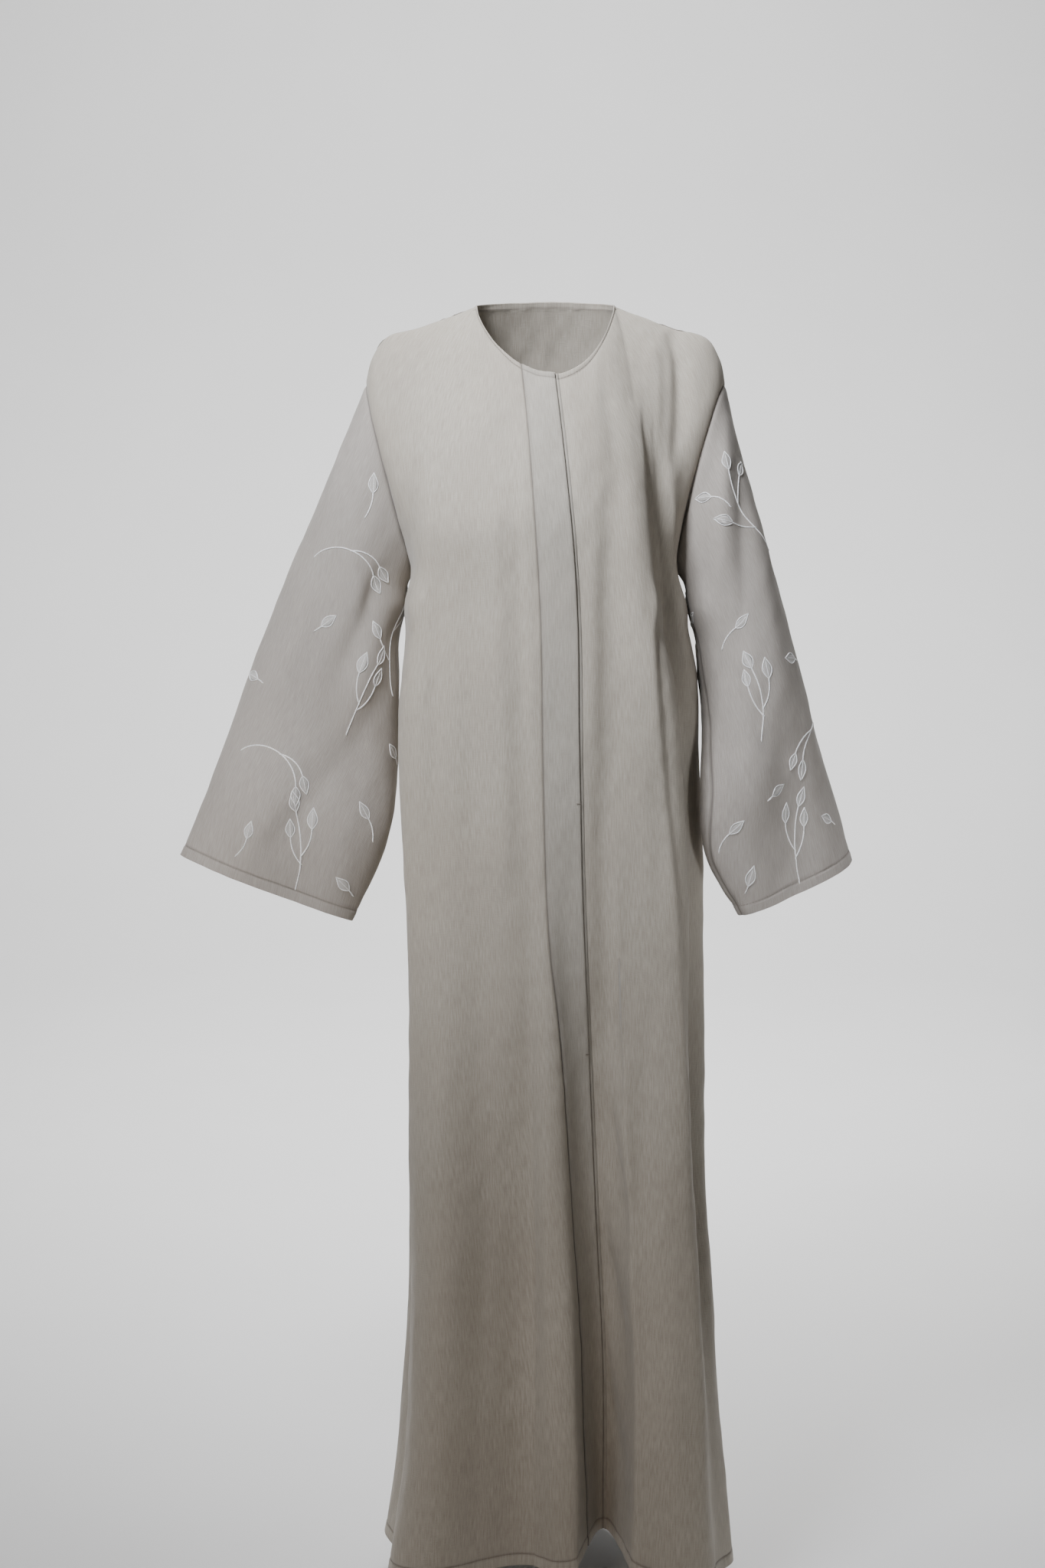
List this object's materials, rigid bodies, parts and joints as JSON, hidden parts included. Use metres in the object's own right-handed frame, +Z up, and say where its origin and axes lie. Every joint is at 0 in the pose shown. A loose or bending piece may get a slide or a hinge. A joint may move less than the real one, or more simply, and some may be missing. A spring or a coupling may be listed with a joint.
{
  "type": "abaya cloak",
  "caption": "Long open-front abaya cloak in its worn, hollow form: straight body with hanging folds, placket band, dropped shoulders and wide straight sleeves with sprig embroidery.",
  "frame": {"origin": "between the shoulders, level with the side neck points, where the cloak rests on its wearer", "axes": "+Z up, the wearer faces -Y, the wearer's left is at +X"},
  "size_m": [0.7847, 0.3525, 1.46],
  "materials": {
    "cloth": "matte slubby linen-look weave, warm light greige",
    "band_cloth": "the same cloth, folded and pressed, a touch smoother",
    "sleeve_cloth": "the same cloth with leaf sprigs embroidered in silvery white thread"
  },
  "bodies": {
    "root": {"back_lower": "cloth", "back_middle": "cloth", "back_upper": "cloth", "front_left_lower": "cloth", "front_left_middle": "cloth", "front_left_upper": "cloth", "front_right_lower": "cloth", "front_right_middle": "cloth", "front_right_upper": "cloth", "placket_band": "band_cloth", "underlap_band": "band_cloth", "sleeve_left": "sleeve_cloth", "sleeve_right": "sleeve_cloth"}
  },
  "joints": []
}
